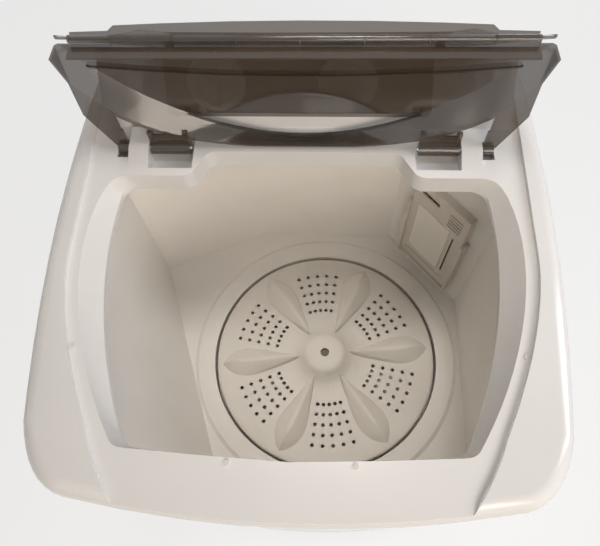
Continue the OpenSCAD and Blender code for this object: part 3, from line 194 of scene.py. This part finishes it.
held_back = 0.62
smoke = smoked_styrene("styrene_smoked", "#4a3d31", held_back, 0.86, 0.12)
smoke_edge = smoked_styrene("styrene_smoked_edge", "#1f1a17", 0.93, 0.97, 0.2)
print("smoke lets through", round(1 - held_back, 2), "of the light behind one skin")

# %% [markdown]
# ## Metals, rubber and small plastics
# Most steel parts are zinc plated, which is a soft grey with a slight bluish cloudiness. The pulsator's screw
# is stainless steel, coloured dark brownish grey as painted shade for the shadow in its deep recess, and the
# wire in the lid's fold is coated black. The bearing housing and the pulleys are die-cast aluminium with a
# grainy skin. The seals, the belt and the feet are black rubber, and the buffers under the lid are pale
# silicone. Both are matt, as the black plastics are.

# %% Metals, rubber, film and black plastic, with their patches and grain in mm
def plated(name, low, high, rough_low, rough_high, patch, bump_height):
    material, tree, output, place = new_material(name)
    cloud = add(tree, "ShaderNodeTexNoise", {"Vector": place, "Scale": 1 / (patch * MM), "Detail": 4.0})
    shader = add(tree, "ShaderNodeBsdfPrincipled", {
        "Base Color": mottle(tree, place, patch * MM, low, high), "Metallic": 1.0,
        "Roughness": spread(tree, cloud.outputs["Fac"], rough_low, rough_high),
        "Normal": bumps(tree, place, 1.6 * MM, bump_height * MM, 0.3)})
    tree.links.new(shader.outputs["BSDF"], output.inputs["Surface"])
    return material


def dull(name, low, high, rough, grain_size, grain_height):
    material, tree, output, place = new_material(name)
    shader = add(tree, "ShaderNodeBsdfPrincipled", {
        "Base Color": mottle(tree, place, 20 * MM, low, high), "Roughness": rough, "IOR": 1.5,
        "Normal": bumps(tree, place, grain_size * MM, grain_height * MM, 0.3)})
    tree.links.new(shader.outputs["BSDF"], output.inputs["Surface"])
    return material


zinc = plated("steel_zinc_plated", "#a3a7ab", "#b9bcbe", 0.28, 0.42, 12, 0.03)
cast_metal = plated("aluminium_die_cast", "#9da0a2", "#b0b2b3", 0.42, 0.58, 20, 0.12)
# The screw's dark brownish colour is painted shade: it stands for the shadow in the screw's deep recess.
recess_shaded_steel = plated("steel_stainless_painted_shade", "#4e4942", "#5d574e", 0.42, 0.6, 4, 0.04)
can_metal = plated("aluminium_drawn", "#c5c7c9", "#d2d3d4", 0.22, 0.32, 30, 0.02)
rubber = dull("rubber_moulded", "#1d1d1e", "#262627", 0.68, 1.8, 0.06)
pale_rubber = dull("silicone_rubber_pale", "#d9d7d3", "#e2e0dc", 0.5, 1.5, 0.02)
drain_grey = dull("rubber_drain_grey", "#4a4a4c", "#545456", 0.6, 2, 0.05)
black_wire = dull("steel_wire_black_coated", "#1c1a19", "#242120", 0.45, 1.2, 0.01)
black_plastic = dull("phenolic_black", "#1a1a1c", "#222224", 0.45, 1.5, 0.03)
fascia_grey = dull("polyester_film_grey", "#77716d", "#7e7874", 0.34, 1.4, 0.02)
print("metals and rubber ready")

# %% [markdown]
# ## Rounded copies of the moulded parts
# A moulded edge is never sharp: the mould maker gives it a radius of one to three millimetres, and that
# radius is what catches the light. The construction solids have sharp edges, so each large moulding is
# copied, its triangles are merged and flat areas joined, and a bevel rounds every edge that turns sharply.
# The copy then stands for its node. On the lid, faces narrower than a given width are its cut edges.

# %% A helper that makes a rounded copy of a node
flat_enough = math.radians(0.6)
sharp_enough = math.radians(28)


def rounded_copy(node, name, radius, material, steps, edge_material=None, edge_width=0.0):
    piece = bpy.data.objects.new(name, nodes[node].data.copy())
    bpy.context.scene.collection.objects.link(piece)
    mesh = bmesh.new()
    mesh.from_mesh(piece.data)
    bmesh.ops.remove_doubles(mesh, verts=mesh.verts, dist=same_place)
    bmesh.ops.dissolve_limit(mesh, angle_limit=flat_enough, verts=mesh.verts, edges=mesh.edges,
                             use_dissolve_boundaries=False, delimit=set())
    for face in mesh.faces:
        face.smooth = True
        width = 2 * face.calc_area() / face.calc_perimeter()
        face.material_index = int(width < edge_width)
    mesh.to_mesh(piece.data)
    mesh.free()
    bevel = piece.modifiers.new("edge radius", "BEVEL")
    bevel.width = radius
    bevel.segments = steps
    bevel.limit_method = "ANGLE"
    bevel.angle_limit = sharp_enough
    bevel.harden_normals = True
    weighted = piece.modifiers.new("weighted normals", "WEIGHTED_NORMAL")
    weighted.keep_sharp = True
    piece.data.materials.clear()
    piece.data.materials.append(material)
    if edge_material:
        piece.data.materials.append(edge_material)
    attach(piece, nodes[node]["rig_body"])
    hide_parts(node)
    return piece


def coat_node(node, material):
    """Gives a node that keeps its own mesh a material."""
    mesh = nodes[node].data
    mesh.materials.clear()
    mesh.materials.append(material)


# %% [markdown]
# The radii follow the photograph: 2.6 mm on the deck's opening, which shows as a soft bright roll, 2.2 mm
# inside the tub, and under 1 mm on the thin smoked lid and the filter. A row gives the piece's name, the
# radius, the finish and the bevel's steps, and for the lid the finish and greatest width of its cut edges.

# %% Copy the mouldings
mouldings = {
    "top_deck": ("deck_shell", 2.6 * MM, deck_white, 4),
    "wash_tub": ("tub_liner", 2.2 * MM, tub_white, 3),
    "cabinet": ("cabinet_shell", 0.8 * MM, deck_white, 2),
    "base_frame": ("base_shell", 1.2 * MM, deck_white, 2),
    "pod_housing": ("pod_shell", 1.4 * MM, deck_white, 3),
    "lid_rear": ("lid_back_panel", 0.5 * MM, smoke, 2, smoke_edge, 2.6 * MM),
    "lid_front": ("lid_front_panel", 0.5 * MM, smoke, 2, smoke_edge, 2.6 * MM),
    "pulsator": ("pulsator_disc", 0.5 * MM, disc_white, 2),
    "filter_frame": ("filter_shell", 0.7 * MM, filter_white, 2),
    "timer_knob": ("timer_dial", 0.5 * MM, deck_white, 2),
    "selector_knob": ("selector_dial", 0.5 * MM, deck_white, 2),
    "rear_cover": ("service_cover", 0.6 * MM, deck_white, 2),
}
for node, (name, *finish) in mouldings.items():
    piece = rounded_copy(node, name, *finish)
    print(name, len(piece.data.polygons), "faces before the bevel")

# %% Coat the nodes that keep their own mesh
finishes = {
    zinc: "rear_cover_screws deck_screws plate_bolts housing_bolts drive_plate upper_bearing "
          "lower_bearing motor motor_bolts capacitor_clip pod_screws hinge_pins pulsator_shaft "
          "pulley_nut motor_shaft pulley_set_screw timer_spindle selector_spindle",
    cast_metal: "bearing_housing driven_pulley motor_pulley",
    rubber: "feet tub_seal shaft_seal drive_belt motor_grommets cord_gland",
    pale_rubber: "deck_buffers pod_buffers",
    # the screw's dark colour is painted shade for the shadow in its recess
    recess_shaded_steel: "pulsator_screw",
    black_wire: "fold_wire",
    drain_grey: "sump_elbow drain_pipe outlet_stub",
    black_plastic: "timer_body selector_body",
    can_metal: "capacitor",
    fascia_grey: "pod_fascia",
    filter_white: "filter_mesh filter_rails",
    plate_white: "filter_plate",
    deck_white: "duct_cover",
}
for material, names in finishes.items():
    for node in names.split():
        coat_node(node, material)
left = set(nodes) - set(mouldings) - set(" ".join(finishes.values()).split())
print("nodes with no finish:", sorted(left))

# %% [markdown]
# ## Screw heads
# The screws of the cover, the deck and the pod have a cross recess, which at this distance is a dark star in
# the head. The construction heads are plain, so two crossed blocks are cut out of each with a Boolean. The
# pairs of blocks are gathered in a single cutter, because one cut of many shapes is quicker than many.

# %% Cut a cross into every head of a node
def finished_mesh(holder):
    """The mesh of an object with its modifiers, or of a text, worked out."""
    bpy.context.view_layer.update()
    depsgraph = bpy.context.evaluated_depsgraph_get()
    return bpy.data.meshes.new_from_object(holder.evaluated_get(depsgraph))


def solids_of(mesh):
    """The separate solids of a bmesh, each as its lowest and highest corner."""
    seen = set()
    for start in mesh.verts:
        if start in seen:
            continue
        seen.add(start)
        todo = [start]
        points = []
        while todo:
            vert = todo.pop()
            points.append(vert.co.copy())
            for other in (edge.other_vert(vert) for edge in vert.link_edges):
                if other not in seen:
                    seen.add(other)
                    todo.append(other)
        yield [Vector(pick(p[i] for p in points) for i in range(3)) for pick in (min, max)]


def recessed(node, name, outward):
    width = 4.4 * MM
    depth = 1.2 * MM
    source = bmesh.new()
    source.from_mesh(nodes[node].data)
    bmesh.ops.remove_doubles(source, verts=source.verts, dist=same_place)
    outward = Vector(outward)
    turned = outward.to_track_quat("Z", "Y").to_matrix().to_4x4()
    cutter = bmesh.new()
    for low, high in solids_of(source):
        head = (low + high) / 2 + outward * abs((high - low).dot(outward)) / 2
        for quarter in (0, math.pi / 2):
            block = Matrix.Diagonal((width, width / 5, 2 * depth, 1))
            turn = Matrix.Rotation(quarter + math.pi / 8, 4, "Z")
            place = Matrix.Translation(head) @ turned @ turn @ block
            bmesh.ops.create_cube(cutter, size=1.0, matrix=place)
    piece = bpy.data.objects.new(name, bpy.data.meshes.new(name))
    knife = bpy.data.objects.new("knife", bpy.data.meshes.new("knife"))
    for mesh, target in ((source, piece), (cutter, knife)):
        mesh.to_mesh(target.data)
        mesh.free()
        bpy.context.scene.collection.objects.link(target)
    cut = piece.modifiers.new("cross", "BOOLEAN")
    cut.object = knife
    cut.solver = "EXACT"
    cut.use_self = True
    done = finished_mesh(piece)
    piece.modifiers.clear()
    piece.data = done
    bpy.data.objects.remove(knife)
    done.materials.clear()
    done.materials.append(zinc)
    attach(piece, nodes[node]["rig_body"])
    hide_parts(node)
    print(name, len(done.polygons), "faces")


recessed("rear_cover_screws", "cover_screws", (0, 1, 0))
recessed("deck_screws", "deck_fixing_screws", (0, 0, -1))
recessed("pod_screws", "pod_fixing_screws", (0, 0, -1))

# %% [markdown]
# ## Scales on the dials
# Each dial carries its own scale on its skirt, so that the scale turns with it, and a small triangle on the
# grey panel marks where it is read. The marks are thin flat shapes in the plane of the dial, whose middle and
# direction are those of its joint. The skirt slopes down outwards and the marks don't, so the feet of the
# figures dip a tenth of a millimetre into it and the ticks float up to 0.4 mm over it. A better scale would
# be laid on the slope, as the print on a real dial is. The figures are plain numbers.

# %% Ink, and the plane of a dial
ink = dull("ink_pad_printed", "#26282c", "#2e3034", 0.5, 1.2, 0.01)
pale_ink = dull("ink_screen_printed", "#e6e6e2", "#efefec", 0.5, 1.2, 0.01)
film = 0.1 * MM
joints = {joint["name"]: joint for joint in frame["joints"]}


def dial_frame(joint):
    """Turns drawing coordinates into places: x to the right, y up the face, z out of it."""
    out = Vector(joint["axis"]).normalized()
    across = Vector((1, 0, 0))
    turn = Matrix((across, out.cross(across), out)).transposed().to_4x4()
    return Matrix.Translation(Vector(joint["pos_m"])) @ turn


def height_in(plane, node, near, far):
    """How far a node stands out of that plane between two distances from the dial's middle."""
    inward = plane.inverted()
    places = [inward @ v.co for v in nodes[node].data.vertices]
    return max(p.z for p in places if near < p.xy.length < far)


def figure(words, height):
    curve = bpy.data.curves.new("figure", "FONT")
    curve.body = words
    curve.size = height
    curve.align_x = "CENTER"
    curve.align_y = "CENTER"
    curve.extrude = film / 2
    curve.resolution_u = 3
    holder = bpy.data.objects.new("figure", curve)
    bpy.context.scene.collection.objects.link(holder)
    mesh = finished_mesh(holder)
    bpy.data.objects.remove(holder)
    return mesh


def finish_print(mesh, name, body, material):
    piece = bpy.data.objects.new(name, bpy.data.meshes.new(name))
    mesh.to_mesh(piece.data)
    mesh.free()
    bpy.context.scene.collection.objects.link(piece)
    piece.data.materials.append(material)
    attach(piece, body)
    print(name, len(piece.data.polygons), "faces")


# %% Scales and index marks
def add_shape(mesh, part, matrix):
    before = set(mesh.verts)
    mesh.from_mesh(part)
    bmesh.ops.transform(mesh, matrix=matrix, verts=[v for v in mesh.verts if v not in before])


def print_scale(joint_name, node, name, figures, ticks, step):
    """Figures and ticks on a dial's skirt. The tick 0 is at the index mark when the dial is at zero."""
    plane = dial_frame(joints[joint_name])
    skirt = height_in(plane, node, 27 * MM, 32 * MM)
    tick_width = 0.8 * MM
    tick_length = 1.6 * MM
    tick_middle = 31.2 * MM
    figure_middle = 28.2 * MM
    upright = Matrix.Rotation(math.pi, 4, "Z")
    mesh = bmesh.new()
    for tick in ticks:
        turn = Matrix.Rotation(math.pi + math.radians(tick * step), 4, "Z")
        bar = Matrix.Diagonal((tick_width, tick_length, film, 1))
        bar = Matrix.Translation((0, tick_middle, skirt)) @ bar
        bmesh.ops.create_cube(mesh, size=1.0, matrix=plane @ turn @ bar)
    for words, tick in figures:
        turn = Matrix.Rotation(math.pi + math.radians(tick * step), 4, "Z")
        place = turn @ Matrix.Translation((0, figure_middle, skirt))
        add_shape(mesh, figure(words, 4.4 * MM), plane @ place @ upright)
    print(name, "skirt", round(skirt / MM, 2), "mm out")
    finish_print(mesh, name, joints[joint_name]["child"], ink)


def print_index(mesh, joint_name):
    plane = dial_frame(joints[joint_name])
    face = height_in(plane, "pod_fascia", 0.0, 300 * MM)
    below = 36.5 * MM
    size = 2.0 * MM
    mark = bmesh.ops.create_cone(mesh, cap_ends=True, segments=3, radius1=size, radius2=size, depth=film)
    turn = Matrix.Translation((0, -below, face)) @ Matrix.Rotation(math.pi / 6, 4, "Z")
    bmesh.ops.transform(mesh, matrix=plane @ turn, verts=mark["verts"])


timer_steps = 16
timer_figures = [(str(step), step) for step in range(0, timer_steps, 3)]
selector_figures = [("1", -1), ("2", 0), ("3", 1)]
print_scale("timer_turn", "timer_knob", "timer_scale", timer_figures, range(timer_steps), 22)
print_scale("selector_turn", "selector_knob", "selector_scale", selector_figures, (-1, 0, 1), 60)
marks = bmesh.new()
print_index(marks, "timer_turn")
print_index(marks, "selector_turn")
finish_print(marks, "index_marks", "machine", pale_ink)

# %% [markdown]
# ## Floor, light and background
# A pale floor takes a soft shadow. The world is white where the camera, a reflection or a see-through
# surface looks at it, and much weaker where it lights the machine, so that the lamps shape the tub. The
# floor does the same in part: it glows a little for those rays, and keeps the machine's shadow.

# %% Floor and world
def looked_at(tree):
    """Is 1 for rays from the camera, a reflection or a see-through surface, and 0 for light."""
    rays = add(tree, "ShaderNodeLightPath").outputs
    seen = {0: rays["Is Camera Ray"], 1: rays["Is Transmission Ray"]}
    seen = add(tree, "ShaderNodeMath", seen, operation="MAXIMUM")
    seen = {0: seen.outputs[0], 1: rays["Is Glossy Ray"]}
    return add(tree, "ShaderNodeMath", seen, operation="MAXIMUM").outputs[0]


floor_material, tree, output, place = new_material("floor_pale")
glow_share = 0.72
matt = add(tree, "ShaderNodeBsdfDiffuse", {"Color": linear("#f4f4f4")})
glow = add(tree, "ShaderNodeEmission", {"Color": linear("#ffffff"), "Strength": 1.0})
part = add(tree, "ShaderNodeMath", {0: looked_at(tree), 1: glow_share}, operation="MULTIPLY")
sockets = {0: part.outputs[0], 1: matt.outputs["BSDF"], 2: glow.outputs["Emission"]}
mixed = add(tree, "ShaderNodeMixShader", sockets)
tree.links.new(mixed.outputs["Shader"], output.inputs["Surface"])
sheet = bmesh.new()
bmesh.ops.create_grid(sheet, x_segments=1, y_segments=1, size=6.0)
floor_mesh = bpy.data.meshes.new("floor")
sheet.to_mesh(floor_mesh)
sheet.free()
floor = bpy.data.objects.new("floor", floor_mesh)
floor_mesh.materials.append(floor_material)
bpy.context.scene.collection.objects.link(floor)

world = bpy.data.worlds.new("studio")
bpy.context.scene.world = world
world.use_nodes = True
tree = world.node_tree
tree.nodes.clear()
dim = add(tree, "ShaderNodeBackground", {"Color": linear("#fff8f0"), "Strength": 0.16})
bright = add(tree, "ShaderNodeBackground", {"Color": linear("#ffffff"), "Strength": 1.0})
sockets = {0: looked_at(tree), 1: dim.outputs["Background"], 2: bright.outputs["Background"]}
mixed = add(tree, "ShaderNodeMixShader", sockets)
add(tree, "ShaderNodeOutputWorld", {"Surface": mixed.outputs["Shader"]})
print("floor and world ready")

# %% [markdown]
# Six broad lamps light it. The strongest come from the right and from the front, as the light in the
# photograph does. A small one above has a narrow spread, because a deep tub gets little of what comes from
# the side. The other three keep the sides and the back from going dark in other views.

# %% Lamps
def lamp(name, place, target, width, power, colour, spread=180):
    data = bpy.data.lights.new(name, "AREA")
    data.spread = math.radians(spread)
    data.shape = "SQUARE"
    data.size = width
    data.energy = power
    data.color = linear(colour)[:3]
    piece = bpy.data.objects.new(name, data)
    piece.location = place
    piece.rotation_euler = (Vector(target) - Vector(place)).to_track_quat("-Z", "Y").to_euler()
    bpy.context.scene.collection.objects.link(piece)


lamp("window", (1.3, 0.05, 1.5), (0.0, 0.0, 0.7), 0.7, 8.5, "#f3f6ff")
lamp("room", (0.45, -1.5, 1.75), (0.0, 0.2, 0.75), 0.9, 18.0, "#fff3e4")
lamp("ceiling", (0.05, 0.25, 2.2), (0.0, 0.0, 0.6), 0.4, 0.42, "#fff8ef", spread=34)
lamp("left", (-2.2, 0.4, 1.2), (0.0, 0.0, 0.5), 1.2, 1.5, "#fff8f0")
lamp("front", (0.5, -2.6, 0.5), (0.0, 0.0, 0.4), 1.2, 4.0, "#fff8f0")
lamp("back", (0.4, 2.5, 0.9), (0.0, 0.0, 0.5), 1.2, 10.0, "#fffdf8")
print("lamps ready")

# %% [markdown]
# ## Camera
# The camera looks steeply down into the tub from the front, a little to the right of the middle. Its place,
# its three axes and its focal length come from fitting the round well, the pulsator's holes and the deck.

# %% Camera
view_right = Vector((0.9988, 0.0350, -0.0348))
view_up = Vector((-0.0172, 0.9074, 0.4199))
view_back = view_right.cross(view_up).normalized()
focal_pixels = 578.24
frame_width = 600
before_well = 0.275
eye_height = 1.360
camera_data = bpy.data.cameras.new("photograph")
camera_data.sensor_width = 36.0
camera_data.sensor_fit = "HORIZONTAL"
camera_data.lens = focal_pixels / frame_width * camera_data.sensor_width
camera = bpy.data.objects.new("photograph", camera_data)
bpy.context.scene.collection.objects.link(camera)
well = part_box("pulsator")
eye = Vector((0.030, (well[0].y + well[1].y) / 2 - before_well, eye_height))
turned = Matrix((view_right, view_up, view_back)).transposed().to_4x4()
camera.matrix_world = Matrix.Translation(eye) @ turned
bpy.context.scene.camera = camera
bpy.context.scene.view_settings.view_transform = "Standard"
print("camera at", [round(c, 3) for c in eye], "lens", round(camera_data.lens, 2))
